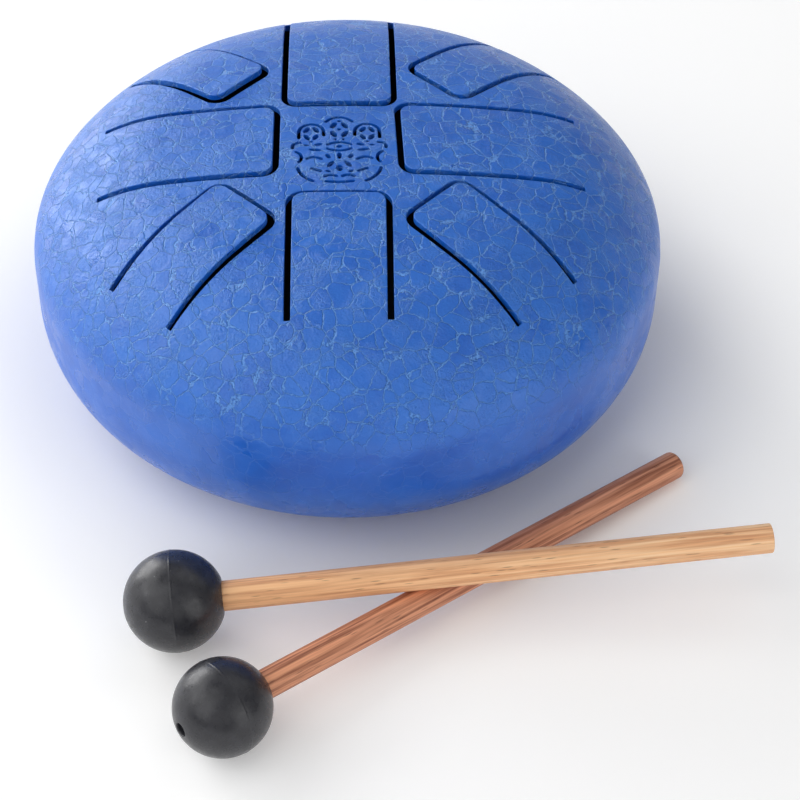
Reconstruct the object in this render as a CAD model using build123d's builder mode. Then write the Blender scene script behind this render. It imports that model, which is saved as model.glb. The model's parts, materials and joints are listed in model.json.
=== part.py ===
from build123d import *

import os
from math import asin, atan2, cos, degrees, hypot, radians, sin

# A small eight-note steel tongue drum and its two mallets, in millimetres, +Z up.
# The drum's axis is the Z axis and its rubber feet stand on Z = 0. The front, where the
# mallets lie crossed on the table, is -Y.

# ---- the two pressed shells ----
RADIUS = 75.0  # outside radius of the 6 inch drum
WALL = 1.5  # sheet steel
FOOT_HEIGHT = 3.0  # rubber foot and its adhesive pad together
BASE_Z = FOOT_HEIGHT  # underside of the flat base
KNUCKLE_R = 21.7  # arc from the flat base to the side
KNUCKLE_TOP = BASE_Z + KNUCKLE_R
DOME_FOOT = 35.5  # top of the straight side, where the dome starts
WELD_Z = 30.1  # middle of the weld between the shells
WELD_GAP = 0.6  # root gap that the weld fills
SOUND_HOLE_R = 9.0  # in the middle of the base

# the dome is three tangent arcs, from the side to the crown
SIDE_ARC_R = 13.9
SIDE_ARC_TURN = 36.7
SHOULDER_ARC_R = 43.5
SHOULDER_ARC_TURN = 44.6
CROWN_TURN = 90 - SIDE_ARC_TURN - SHOULDER_ARC_TURN

# ---- the tongues ----
KERF = 1.45  # width of the cut slots
SLOT_CORNER_R = 3.3  # at the slot's middle line
ROOT_SPLIT = 0.08  # running gap at a tongue's root, where the real sheet goes on
PATTERN_X = -2.0  # the slot pattern sits a little off the drum's axis
PATTERN_Y = 0.85

# name: (heading in degrees from +X, half width, distance of the free end, distance of the root,
# lift of the free end), widths and distances to the middle line of the slot and from the middle
# of the pattern. The tongues are bent up a little at their roots, each by its own lift.
TONGUES = {
    "tongue_right": (1.4, 12.7, 13.95, 56.5, 0.15),
    "tongue_back_right": (44.7, 9.15, 31.95, 66.0, 0.1),
    "tongue_back": (89.7, 13.0, 12.7, 63.3, 0.4),
    "tongue_back_left": (136.0, 9.05, 30.9, 62.5, 1.1),
    "tongue_left": (179.5, 12.65, 14.5, 55.7, 0.25),
    "tongue_front_left": (225.3, 9.4, 28.9, 63.25, 1.25),
    "tongue_front": (269.5, 11.3, 19.25, 55.1, 1.0),
    "tongue_front_right": (315.3, 9.45, 29.05, 64.5, 0.85),
}

# ---- the pierced open-hand ornament, about 22 wide and 24 long ----
ORNAMENT_X = -2.0
ORNAMENT_Y = -3.4
ORNAMENT_SLOT = 0.85  # width of its cut lines

# (x, y, radius, start angle, sweep) on the ornament's axis of symmetry
MIDDLE_ARCS = [
    (0, 7.9, 3.75, 35, 110),  # tip of the middle finger
    (0, 4.6, 16.3, -101, 22),  # heel of the hand
    (0, -2.87, 5.07, 58, 64),  # upper eyelid
    (0, 4.27, 5.07, 238, 64),  # lower eyelid
]
# the same for the right half, which is mirrored
SIDE_ARCS = [
    (6.5, 6.2, 2.9, 0, 180),  # tip of the finger beside it
    (9.4, 0.9, 1.45, -15, 118),  # tip of the thumb
    (11.0, -3.0, 2.3, 118, 105),  # hollow between thumb and palm
    (3.2, -5.4, 6.5, -64, 52),  # side of the palm
    (6.0, -5.6, 2.6, 55, 80),  # line across the palm
    (2.0, -11.6, 2.3, 55, 70),  # under the flower
]
# (x, y, x, y) straight cuts of the right half
SIDE_LINES = [
    (3.6, 6.2, 3.6, 4.9),
    (9.4, 6.2, 9.4, 4.1),
    (4.3, -7.9, 6.3, -7.0),
]
# (x, y, half length, half width, heading of the long axis) of the petals
MIDDLE_PETALS = [
    (0, 10.2, 0.55, 0.35, 0),
    (0, 7.0, 0.5, 0.4, 0),
    (0, 0.7, 0.8, 0.5, 0),  # pupil
    (0, -2.6, 1.15, 0.55, 90),
    (0, -7.0, 1.05, 0.8, 90),
]
SIDE_PETALS = [
    (1.3, 8.6, 1.3, 0.7, 118),
    (1.3, 5.3, 1.3, 0.7, 62),
    (0.95, 3.3, 0.5, 0.35, 90),
    (5.45, 6.95, 1.2, 0.62, 60),
    (7.55, 6.95, 1.2, 0.62, 120),
    (5.5, 4.2, 1.15, 0.62, 118),
    (7.5, 4.2, 1.15, 0.62, 62),
    (6.5, 2.6, 0.5, 0.35, 0),
    (4.9, 1.5, 1.0, 0.5, -12),
    (7.6, 1.3, 0.6, 0.35, 0),
    (5.6, -0.4, 1.5, 0.5, 8),
    (2.6, -2.8, 0.9, 0.55, 60),
    (2.0, -5.5, 1.3, 0.6, 125),
    (2.6, -8.0, 0.7, 0.4, 30),
]

# ---- rubber feet ----
FOOT_CIRCLE_R = 43.0
FOOT_R = 6.5
PAD_R = 5.5
PAD_THICKNESS = 0.3

# ---- mallets ----
HEAD_FLAT_R = 3.9  # flat where the stick goes in
STICK_R = 3.25
BORE_PAST_CENTRE = 4.0  # the blind bore ends this far beyond the middle of the ball
VENT_R = 1.5  # hole from the bore to the far side of the ball
STICK_GAP = 0.2  # daylight between the crossed sticks

# (x, y) of the ball's middle, the ball's radius, heading of the stick, ball's middle to stick's
# end; the two moulded balls differ a little in size
MALLET_1 = (-38.8, -94.3, 11.3, 4.6, 132.0)  # the upper one
MALLET_2 = (-27.5, -122.7, 10.7, 35.8, 129.2)  # the lower one, whose stick ends on the table

os.makedirs("parts", exist_ok=True)


def write(piece, name):
    """Labels a finished piece and writes its STEP file."""
    piece.part.label = name
    export_step(piece.part, f"parts/{name}.step")


def dome_line(inset):
    """Draws the dome's half profile, inset from the outside, and returns its point on the axis."""
    side = JernArc((RADIUS - inset, DOME_FOOT), (0, 1), SIDE_ARC_R - inset, SIDE_ARC_TURN)
    shoulder = JernArc(side @ 1, side % 1, SHOULDER_ARC_R - inset, SHOULDER_ARC_TURN)
    start = shoulder @ 1
    crown_r = start.X / sin(radians(CROWN_TURN))
    crown_z = start.Y - crown_r * cos(radians(CROWN_TURN))
    CenterArc((0, crown_z), crown_r, 90 - CROWN_TURN, CROWN_TURN)
    return (0, crown_z + crown_r)


def dome_section(rim_z):
    """Draws the dome's closed half section, down to a flat rim."""
    outer_top = dome_line(0)
    inner_top = dome_line(WALL)
    Line(outer_top, inner_top)
    Polyline(
        (RADIUS, DOME_FOOT), (RADIUS, rim_z), (RADIUS - WALL, rim_z), (RADIUS - WALL, DOME_FOOT)
    )


def tongue_plane(heading):
    """The level plane in the middle of the pattern whose X runs out along a tongue."""
    along = (cos(radians(heading)), sin(radians(heading)), 0)
    return Plane(origin=(PATTERN_X, PATTERN_Y, 0), x_dir=along, z_dir=(0, 0, 1))


def tongue_outline(half_width, near, far, corner_r):
    """A tongue's outline, square at its root and rounded at its free end."""
    with Locations(((near + far) / 2, 0)):
        Rectangle(far - near, 2 * half_width)
    fillet(vertices().group_by(Axis.X)[0], corner_r)


def arc_cuts(arcs):
    """The ornament's curved cut lines."""
    for x, y, radius, start, sweep in arcs:
        SlotArc(CenterArc((x, y), radius, start, sweep, mode=Mode.PRIVATE), ORNAMENT_SLOT)


def line_cuts(lines):
    """The ornament's straight cut lines."""
    for x1, y1, x2, y2 in lines:
        run = hypot(x2 - x1, y2 - y1)
        heading = degrees(atan2(y2 - y1, x2 - x1))
        with Locations(Location(((x1 + x2) / 2, (y1 + y2) / 2, 0), (0, 0, heading))):
            SlotCenterToCenter(run, ORNAMENT_SLOT)


def petal_cuts(petals):
    """The ornament's petals and dots."""
    for x, y, half_length, half_width, heading in petals:
        with Locations(Location((x, y, 0), (0, 0, heading))):
            Ellipse(half_length, half_width)


# ---- the ornament's cut-outs, flat ----
with BuildSketch() as ornament_half:
    arc_cuts(SIDE_ARCS)
    line_cuts(SIDE_LINES)
    petal_cuts(SIDE_PETALS)

with BuildSketch() as ornament:
    arc_cuts(MIDDLE_ARCS)
    petal_cuts(MIDDLE_PETALS)
    add(ornament_half.sketch)
    mirror(ornament_half.sketch, about=Plane.YZ)

# ---- upper shell ----
with BuildPart() as upper_shell:
    with BuildSketch(Plane.XZ):
        with BuildLine():
            dome_section(WELD_Z + WELD_GAP / 2)
        make_face()
    revolve(axis=Axis.Z)
    for heading, half_width, near, far, _ in TONGUES.values():
        with BuildSketch(tongue_plane(heading).offset(DOME_FOOT)):
            tongue_outline(half_width + KERF / 2, near - KERF / 2, far, SLOT_CORNER_R + KERF / 2)
        extrude(amount=RADIUS, mode=Mode.SUBTRACT)
    with BuildSketch(Plane.XY.offset(DOME_FOOT)):
        with Locations((ORNAMENT_X, ORNAMENT_Y)):
            add(ornament.sketch)
    extrude(amount=RADIUS, mode=Mode.SUBTRACT)
write(upper_shell, "upper_shell")

# ---- tongues, each cut from the same dome and bent up about the middle of its root ----
for name, (heading, half_width, near, far, lift) in TONGUES.items():
    with BuildPart() as tongue:
        with BuildSketch(Plane.XZ):
            with BuildLine():
                dome_section(WELD_Z + WELD_GAP / 2)
            make_face()
        revolve(axis=Axis.Z)
        with BuildSketch(tongue_plane(heading).offset(DOME_FOOT)):
            tongue_outline(
                half_width - KERF / 2, near + KERF / 2, far - ROOT_SPLIT, SLOT_CORNER_R - KERF / 2
            )
        extrude(amount=RADIUS, mode=Mode.INTERSECT)
    along = tongue_plane(heading).x_dir
    root = tongue.faces().sort_by(Axis((0, 0, 0), along))[-1]
    bend = Axis(root.center(), Vector(0, 0, 1).cross(along))
    with BuildPart() as bent_tongue:
        add(tongue.part.rotate(bend, degrees(asin(lift / (far - near)))))
    write(bent_tongue, name)

# ---- lower shell, with the sound hole in its flat base ----
with BuildPart() as lower_shell:
    with BuildSketch(Plane.XZ):
        with BuildLine():
            rim_z = WELD_Z - WELD_GAP / 2
            outer = JernArc((RADIUS, KNUCKLE_TOP), (0, -1), KNUCKLE_R, -90)
            inner = JernArc((RADIUS - WALL, KNUCKLE_TOP), (0, -1), KNUCKLE_R - WALL, -90)
            Polyline(
                (RADIUS, KNUCKLE_TOP), (RADIUS, rim_z), (RADIUS - WALL, rim_z),
                (RADIUS - WALL, KNUCKLE_TOP),
            )
            Polyline(
                outer @ 1, (SOUND_HOLE_R, BASE_Z), (SOUND_HOLE_R, BASE_Z + WALL), inner @ 1
            )
        make_face()
    revolve(axis=Axis.Z)
write(lower_shell, "lower_shell")

# ---- weld: it fills the root gap, flush outside, with a low bead inside ----
BEAD_HALF_HEIGHT = 1.1
BEAD_RISE = 0.5
with BuildPart() as equator_weld:
    with BuildSketch(Plane.XZ):
        with BuildLine():
            inside = RADIUS - WALL
            low = WELD_Z - WELD_GAP / 2
            high = WELD_Z + WELD_GAP / 2
            Polyline(
                (inside, WELD_Z - BEAD_HALF_HEIGHT), (inside, low), (RADIUS, low), (RADIUS, high),
                (inside, high), (inside, WELD_Z + BEAD_HALF_HEIGHT),
            )
            ThreePointArc(
                (inside, WELD_Z - BEAD_HALF_HEIGHT), (inside - BEAD_RISE, WELD_Z),
                (inside, WELD_Z + BEAD_HALF_HEIGHT),
            )
        make_face()
    revolve(axis=Axis.Z)
write(equator_weld, "equator_weld")

# ---- rubber feet and the adhesive pads that hold them ----
FOOT_TOP = BASE_Z - PAD_THICKNESS
foot_centres = [
    (FOOT_CIRCLE_R * cos(radians(turn)), FOOT_CIRCLE_R * sin(radians(turn)))
    for turn in (45, 135, 225, 315)
]
for number, centre in enumerate(foot_centres, start=1):
    with BuildPart() as rubber_foot:
        with BuildSketch(Plane.XY):
            with Locations(centre):
                Circle(FOOT_R)
        extrude(amount=FOOT_TOP)
        fillet(rubber_foot.edges().group_by(Axis.Z)[0], 0.9)
        chamfer(rubber_foot.edges().group_by(Axis.Z)[-1], 0.25)
    write(rubber_foot, f"rubber_foot_{number}")

with BuildPart() as foot_adhesive_pads:
    with BuildSketch(Plane.XY.offset(FOOT_TOP)):
        with Locations(*foot_centres):
            Circle(PAD_R)
    extrude(amount=PAD_THICKNESS)
write(foot_adhesive_pads, "foot_adhesive_pads")


def mallet_plane(x, y, ball_r, heading, tilt):
    """A plane through the middle of a ball that rests on the table, X along the stick, Z upwards."""
    along = Vector(
        cos(radians(heading)) * cos(radians(tilt)),
        sin(radians(heading)) * cos(radians(tilt)),
        sin(radians(tilt)),
    )
    level = Vector(-sin(radians(heading)), cos(radians(heading)), 0)
    return Plane(origin=(x, y, ball_r), x_dir=along, z_dir=along.cross(level))


def make_mallet(number, plane, ball_r, length, end_fillet):
    """Writes one mallet: a wooden stick glued into the blind bore of a rubber ball."""
    axis = Axis(plane.origin, plane.x_dir)
    flat_x = (ball_r**2 - HEAD_FLAT_R**2) ** 0.5
    pole_x = -((ball_r**2 - VENT_R**2) ** 0.5)
    with BuildPart() as head:
        with BuildSketch(plane):
            with BuildLine():
                ThreePointArc((flat_x, HEAD_FLAT_R), (0, ball_r), (pole_x, VENT_R))
                Polyline(
                    (pole_x, VENT_R), (-BORE_PAST_CENTRE, VENT_R), (-BORE_PAST_CENTRE, STICK_R),
                    (flat_x, STICK_R), (flat_x, HEAD_FLAT_R),
                )
            make_face()
        revolve(axis=axis)
    write(head, f"mallet_{number}_head")
    with BuildPart() as stick:
        with BuildSketch(plane):
            with Locations(((length - BORE_PAST_CENTRE) / 2, STICK_R / 2)):
                Rectangle(length + BORE_PAST_CENTRE, STICK_R)
        revolve(axis=axis)
        end_face = stick.faces().filter_by(GeomType.PLANE).sort_by(axis)[-1]
        fillet(end_face.edges(), end_fillet)
    write(stick, f"mallet_{number}_stick")


# The lower mallet's stick slopes down from the ball to the table.
x2, y2, ball_r2, heading_2, length_2 = MALLET_2
drop_2 = (ball_r2 - STICK_R) / length_2
tilt_2 = -degrees(asin(drop_2))
make_mallet(2, mallet_plane(x2, y2, ball_r2, heading_2, tilt_2), ball_r2, length_2, 1.0)

# The upper mallet's stick rests on the lower one where they cross in plan.
x1, y1, ball_r1, heading_1, length_1 = MALLET_1
turn = radians(heading_2 - heading_1)
away_x = x2 - x1
away_y = y2 - y1
reach_2 = (away_y * cos(radians(heading_1)) - away_x * sin(radians(heading_1))) / -sin(turn)
reach_1 = (away_y * cos(radians(heading_2)) - away_x * sin(radians(heading_2))) / -sin(turn)
height_2 = ball_r2 - reach_2 * drop_2
rise_1 = height_2 + 2 * STICK_R + STICK_GAP - ball_r1
tilt_1 = degrees(atan2(rise_1, reach_1))
make_mallet(1, mallet_plane(x1, y1, ball_r1, heading_1, tilt_1), ball_r1, length_1, 0.3)
print("upper mallet: tilt", round(tilt_1, 2), "crossing at", round(reach_1, 1), "and", round(reach_2, 1))
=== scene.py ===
import json
from math import acos, asin, atan2, ceil, cos, exp, hypot, pi, radians, sin, sqrt

import bpy
import numpy as np
from mathutils import Matrix, Vector
from mathutils.geometry import delaunay_2d_cdt


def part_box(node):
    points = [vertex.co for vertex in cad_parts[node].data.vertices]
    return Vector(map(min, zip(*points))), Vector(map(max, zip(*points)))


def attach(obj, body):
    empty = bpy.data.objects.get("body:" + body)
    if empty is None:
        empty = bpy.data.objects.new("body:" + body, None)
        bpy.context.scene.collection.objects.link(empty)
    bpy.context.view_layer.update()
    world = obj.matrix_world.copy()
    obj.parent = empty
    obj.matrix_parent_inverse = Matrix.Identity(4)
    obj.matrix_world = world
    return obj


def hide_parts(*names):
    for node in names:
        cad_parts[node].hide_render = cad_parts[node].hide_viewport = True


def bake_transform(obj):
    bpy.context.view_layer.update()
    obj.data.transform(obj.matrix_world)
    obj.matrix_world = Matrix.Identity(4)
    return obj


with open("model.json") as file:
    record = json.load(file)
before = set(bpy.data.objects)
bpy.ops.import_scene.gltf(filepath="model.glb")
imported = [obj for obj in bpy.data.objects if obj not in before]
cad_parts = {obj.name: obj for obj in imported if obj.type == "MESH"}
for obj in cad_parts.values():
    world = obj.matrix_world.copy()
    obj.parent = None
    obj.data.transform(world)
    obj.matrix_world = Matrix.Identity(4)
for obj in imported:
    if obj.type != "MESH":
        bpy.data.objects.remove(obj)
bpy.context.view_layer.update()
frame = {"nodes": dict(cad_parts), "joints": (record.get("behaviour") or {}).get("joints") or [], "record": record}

# The looks of a small steel tongue drum with two mallets. Shapes are worked out in millimetres
# in the CAD's frame, and turned to metres when a mesh is made.

MM = 0.001


def box_mm(node):
    """A CAD node's lowest and highest corners, in millimetres."""
    low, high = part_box(node)
    return [c / MM for c in low], [c / MM for c in high]


def points_mm(node):
    """A CAD node's points, in millimetres."""
    return np.array([v.co for v in frame["nodes"][node].data.vertices]) / MM


# ---- the drum's dimensions, from the frame where it states them ----
shell_low, shell_high = box_mm("upper_shell")
base_low, base_high = box_mm("lower_shell")
RADIUS = (shell_high[0] - shell_low[0]) / 2
TOP_Z = shell_high[2]
UPPER_RIM_Z = shell_low[2]
LOWER_RIM_Z = base_high[2]
BASE_Z = base_low[2]
HOLE = next(m for m in frame["record"]["mounts"] if m["name"] == "sound_hole")
SOUND_HOLE_R = HOLE["dims"]["r_mm"]
WALL = HOLE["dims"]["length_mm"]

# the dome's three tangent arcs and the lower shell's knuckle, as the CAD has them
DOME_FOOT = 35.5
SIDE_ARC_R = 13.9
SIDE_TURN = radians(36.7)
SHOULDER_ARC_R = 43.5
SHOULDER_END = radians(36.7 + 44.6)
KNUCKLE_R = 21.7
KERF = 1.45  # width of a tongue slot
SLOT_CORNER_R = 2.575  # corner of a tongue's free end
END_CORNER_R = 0.2  # the slots' outer ends are cut nearly square
BEND_LENGTH = 8.0  # a tongue bends over this length from its root
TIP_BAND = 1.0  # a tongue's lift is measured over this length of its free end

# ---- fineness of the meshes ----
TURNS = 288  # steps round the drum
FOOT_TURNS = 72  # steps round a foot
HEAD_TURNS = 120  # steps round a mallet's head
STICK_TURNS = 64  # steps round a mallet's stick
ROOT_STEPS = 12  # steps along a tongue's root
CORNER_STEPS = 2.5  # steps per millimetre of a slot corner's radius
CUT_STEP = 0.6  # length of a step along the ornament's curved cuts
PETAL_STEPS = 18  # steps round a petal-shaped cut
ROUND_END_STEPS = 6  # steps round the end of a curved cut
ON_AXIS = 1e-6  # a point closer to Z than this is on it
DISC_R = 68.5  # the slotted middle of the dome ends here
GRID = 1.5  # spacing of the points between the slots
CLEAR = GRID * 0.5  # and how far they keep from the cuts and the roots
EDGE_ROUND = 0.24  # paint-rounded edge of a slot
FINE_ROUND = 0.1  # the same round the ornament's finer cuts
EDGE_ANGLES = (30, 60, 90)  # where the rounding has rows of points past its first, in degrees

# ---- the ornament, as the CAD has it ----
ORNAMENT_X = -2.0
ORNAMENT_Y = -3.4
ORNAMENT_SLOT = 0.85
# (x, y, radius, start angle, sweep) of single curved cuts, on the middle line
MIDDLE_ARCS = [
    (0, 7.9, 3.75, 35, 110),
    (0, 4.6, 16.3, -101, 22),
    (0, -2.87, 5.07, 58, 64),
    (0, 4.27, 5.07, 238, 64),
]
# the same for the right half
SIDE_ARCS = [
    (9.4, 0.9, 1.45, -15, 118),
    (11.0, -3.0, 2.3, 118, 105),
    (3.2, -5.4, 6.5, -64, 52),
    (6.0, -5.6, 2.6, 55, 80),
    (2.0, -11.6, 2.3, 55, 70),
]
# the fingertip of the right half: a half circle with two straight legs down to the given heights
FINGER_ARCH = (6.5, 6.2, 2.9, 4.9, 4.1)
SIDE_LINES = [(4.3, -7.9, 6.3, -7.0)]
# (x, y, half length, half width, heading of the long axis)
MIDDLE_PETALS = [
    (0, 10.2, 0.55, 0.35, 0),
    (0, 7.0, 0.5, 0.4, 0),
    (0, 0.7, 0.8, 0.5, 0),
    (0, -2.6, 1.15, 0.55, 90),
    (0, -7.0, 1.05, 0.8, 90),
]
SIDE_PETALS = [
    (1.3, 8.6, 1.3, 0.7, 118),
    (1.3, 5.3, 1.3, 0.7, 62),
    (0.95, 3.3, 0.5, 0.35, 90),
    (5.45, 6.95, 1.2, 0.62, 60),
    (7.55, 6.95, 1.2, 0.62, 120),
    (5.5, 4.2, 1.15, 0.62, 118),
    (7.5, 4.2, 1.15, 0.62, 62),
    (6.5, 2.6, 0.5, 0.35, 0),
    (4.9, 1.5, 1.0, 0.5, -12),
    (7.6, 1.3, 0.6, 0.35, 0),
    (5.6, -0.4, 1.5, 0.5, 8),
    (2.6, -2.8, 0.9, 0.55, 60),
    (2.0, -5.5, 1.3, 0.6, 125),
    (2.6, -8.0, 0.7, 0.4, 30),
]


# ======================== the dome's form
SIDE_CENTRE_R = RADIUS - SIDE_ARC_R
SHOULDER_CENTRE_R = SIDE_CENTRE_R - (SHOULDER_ARC_R - SIDE_ARC_R) * cos(SIDE_TURN)
SHOULDER_CENTRE_Z = DOME_FOOT - (SHOULDER_ARC_R - SIDE_ARC_R) * sin(SIDE_TURN)
SHOULDER_END_R = SHOULDER_CENTRE_R + SHOULDER_ARC_R * cos(SHOULDER_END)
CROWN_ARC_R = SHOULDER_END_R / cos(SHOULDER_END)
CROWN_CENTRE_Z = TOP_Z - CROWN_ARC_R


def dome_at(x, y, inset=0.0):
    """Height and unit normal of the dome over a point in plan, inset from the outside."""
    r = hypot(x, y)
    crown_r = CROWN_ARC_R - inset
    if r < crown_r * cos(SHOULDER_END):
        out = r / crown_r
        z = CROWN_CENTRE_Z + sqrt(crown_r**2 - r * r)
    else:
        shoulder_r = SHOULDER_ARC_R - inset
        out = (r - SHOULDER_CENTRE_R) / shoulder_r
        z = SHOULDER_CENTRE_Z + sqrt(shoulder_r**2 - (r - SHOULDER_CENTRE_R) ** 2)
    up = sqrt(1 - out * out)
    if r < 1e-9:
        return z, (0.0, 0.0, 1.0)
    return z, (x / r * out, y / r * out, up)


# ======================== meshes
class Shape:
    """Points and faces of one or more pieces, with a normal for every corner of every face."""

    def __init__(self):
        self.points = []
        self.faces = []  # (point numbers, normals, material number, piece number)

    def point(self, x, y, z):
        self.points.append((x, y, z))
        return len(self.points) - 1

    def face(self, corners, normals, finish=0, piece=0):
        """Adds a face, wound so that its front is the side that its normals point to."""
        spots = [self.points[i] for i in corners]
        front = [0.0, 0.0, 0.0]
        for (x0, y0, z0), (x1, y1, z1) in zip(spots, spots[1:] + spots[:1]):
            front[0] += (y0 - y1) * (z0 + z1)
            front[1] += (z0 - z1) * (x0 + x1)
            front[2] += (x0 - x1) * (y0 + y1)
        if sum(f * sum(n[axis] for n in normals) for axis, f in enumerate(front)) < 0:
            corners, normals = corners[::-1], normals[::-1]
        self.faces.append((tuple(corners), tuple(normals), finish, piece))

    def patch(self, spots, finish, piece=0):
        """Adds a face from pairs of a point number and its normal."""
        self.face([point for point, _ in spots], [normal for _, normal in spots], finish, piece)

    def moved(self, matrix):
        """The same shape in another place; the matrix is in metres, as Blender takes it."""
        turn = np.array(matrix.to_3x3())
        shift = np.array(matrix.translation) / MM
        there = Shape()
        there.points = [tuple(turn @ np.array(p) + shift) for p in self.points]
        for corners, normals, finish, piece in self.faces:
            turned = tuple(tuple(turn @ np.array(n)) for n in normals)
            there.faces.append((corners, turned, finish, piece))
        return there

    def make(self, name, materials, piece=0, matrix=None, bend=None):
        """One piece as a Blender object, in metres, with its own normals."""
        faces = [f for f in self.faces if f[3] == piece]
        used = sorted({corner for f in faces for corner in f[0]})
        number = {old: new for new, old in enumerate(used)}
        points = np.array([self.points[i] for i in used])
        corners = [number[c] for f in faces for c in f[0]]
        normals = np.array([n for f in faces for n in f[1]], dtype=float)
        normals /= np.linalg.norm(normals, axis=1)[:, None]
        if bend is not None:
            points, normals = bend(points, corners, normals)
        mesh = bpy.data.meshes.new(name)
        mesh.from_pydata((points * MM).tolist(), [], [[number[c] for c in f[0]] for f in faces])
        for material in materials:
            mesh.materials.append(material)
        mesh.polygons.foreach_set("material_index", [f[2] for f in faces])
        mesh.polygons.foreach_set("use_smooth", [True] * len(faces))
        mesh.update()
        mesh.normals_split_custom_set([tuple(n) for n in normals])
        piece_object = bpy.data.objects.new(name, mesh)
        bpy.context.scene.collection.objects.link(piece_object)
        if matrix is not None:
            piece_object.matrix_world = matrix
        return piece_object


def around(turns):
    """Cosines and sines of angles spread evenly round a circle."""
    return [(cos(2 * pi * i / turns), sin(2 * pi * i / turns)) for i in range(turns)]


def lathe(shape, runs, turns=TURNS, finishes=None):
    """Turns a closed profile round Z. A run is a list of (r, z, normal r, normal z), and each run
    starts where the one before it ends, with its own normal there, so that the corner is crisp."""
    finishes = finishes or [0] * len(runs)
    circle = around(turns)
    rings = {}

    def ring(r, z, nr, nz):
        key = (round(r, 5), round(z, 5))
        if key not in rings:
            if r < ON_AXIS:
                rings[key] = [shape.point(0, 0, z)] * turns
            else:
                rings[key] = [shape.point(r * c, r * s, z) for c, s in circle]
        return [(point, (nr * c, nr * s, nz)) for point, (c, s) in zip(rings[key], circle)]

    for run, finish in zip(runs, finishes):
        for here, there in zip(run, run[1:]):
            a, b = ring(*here), ring(*there)
            for i in range(turns):
                j = (i + 1) % turns
                if here[0] < ON_AXIS:
                    shape.patch([a[i], b[j], b[i]], finish)
                elif there[0] < ON_AXIS:
                    shape.patch([a[i], a[j], b[i]], finish)
                else:
                    shape.patch([a[i], a[j], b[j], b[i]], finish)


def arc_run(centre, radius, start, end, steps, inward=False):
    """Profile points along an arc, angles in radians from the radial direction, with normals."""
    sign = -1 if inward else 1
    run = []
    for i in range(steps + 1):
        a = start + (end - start) * i / steps
        c, s = cos(a), sin(a)
        run.append((centre[0] + radius * c, centre[1] + radius * s, sign * c, sign * s))
    return run


def line_run(a, b, normal, steps=1):
    """Profile points along a straight line, with one normal."""
    return [
        (a[0] + (b[0] - a[0]) * i / steps, a[1] + (b[1] - a[1]) * i / steps, normal[0], normal[1])
        for i in range(steps + 1)
    ]


# ======================== cuts in the dome
class Cut:
    """One closed cut through the dome. outline(d) is its loop in plan, grown by d into the steel."""

    def __init__(self, outline, rounding):
        self.outline = outline
        self.rounding = rounding
        self.tongue_span = None  # first and last loop point on the tongue's side of a slot
        self.edge_rows = []  # the rounding's rows of points, once they are made
        self.foot = []  # the points at the foot of the wall, once they are made


def rounded_corners(corners, steps_per_mm):
    """A function that gives the loop of a polygon with rounded corners, grown by d. Corners are
    (x, y, grow x, grow y, radius, growth of the radius)."""
    count = len(corners)

    def loop(d):
        at = [(x + gx * d, y + gy * d) for x, y, gx, gy, _, _ in corners]
        points = []
        for i, (_, _, _, _, radius, growth) in enumerate(corners):
            before = Vector(at[i - 1]) - Vector(at[i])
            after = Vector(at[(i + 1) % count]) - Vector(at[i])
            r = radius + growth * d
            u, v = before.normalized(), after.normalized()
            centre = Vector(at[i]) + (u + v) * r
            steps = max(2, ceil(radius * CORNER_STEPS))
            for k in range(steps + 1):
                t = pi / 2 * k / steps
                points.append(centre - v * r * cos(t) - u * r * sin(t))
            following = corners[(i + 1) % count]
            start = Vector(at[i]) + v * r
            end = Vector(at[(i + 1) % count]) - v * (following[4] + following[5] * d)
            side = hypot(following[0] - corners[i][0], following[1] - corners[i][1])
            pieces = max(1, round((side - radius - following[4]) * steps_per_mm))
            for k in range(1, pieces):
                points.append(start.lerp(end, k / pieces))
        return points

    return loop


def tongue_slot(tongue):
    """The U-shaped slot round one tongue, and the loop points that lie on the tongue's side."""
    length, half = tongue.length, tongue.half
    outer_r = SLOT_CORNER_R + KERF
    wide = half + KERF
    far = length + KERF
    corners = [
        (0, wide, -1, 1, END_CORNER_R, 1),
        (far, wide, 1, 1, outer_r, 1),
        (far, -wide, 1, -1, outer_r, 1),
        (0, -wide, -1, -1, END_CORNER_R, 1),
        (0, -half, -1, 1, END_CORNER_R, 1),
        (length, -half, -1, 1, SLOT_CORNER_R, -1),
        (length, half, -1, -1, SLOT_CORNER_R, -1),
        (0, half, -1, -1, END_CORNER_R, 1),
    ]
    flat_loop = rounded_corners(corners, 1 / GRID)

    def outline(d):
        return [tuple(tongue.root + tongue.inward * p.x + tongue.side * p.y) for p in flat_loop(d)]

    cut = Cut(outline, EDGE_ROUND)
    straight = [
        i for i, p in enumerate(flat_loop(0))
        if abs(p.x - END_CORNER_R) < 1e-6 and abs(abs(p.y) - half) < 1e-6
    ]
    cut.tongue_span = (straight[0], straight[-1])
    return cut


def stroke(path, half_width):
    """A cut line of even width along a path of points, with round ends."""

    def outline(d):
        r = half_width + d
        count = len(path)
        left, right = [], []
        for i, p in enumerate(path):
            a, b = path[max(0, i - 1)], path[min(count - 1, i + 1)]
            run = Vector((b[0] - a[0], b[1] - a[1])).normalized()
            side = Vector((-run.y, run.x)) * r
            left.append(Vector(p) + side)
            right.append(Vector(p) - side)
        points = list(right)
        for tip, near in ((path[-1], path[-2]), (path[0], path[1])):
            heading = atan2(tip[1] - near[1], tip[0] - near[0])
            for k in range(1, ROUND_END_STEPS):
                a = heading - pi / 2 + pi * k / ROUND_END_STEPS
                points.append(Vector((tip[0] + r * cos(a), tip[1] + r * sin(a))))
            if tip is path[-1]:
                points += reversed(left)
        return [(p.x + ORNAMENT_X, p.y + ORNAMENT_Y) for p in points]

    return Cut(outline, FINE_ROUND)


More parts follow.
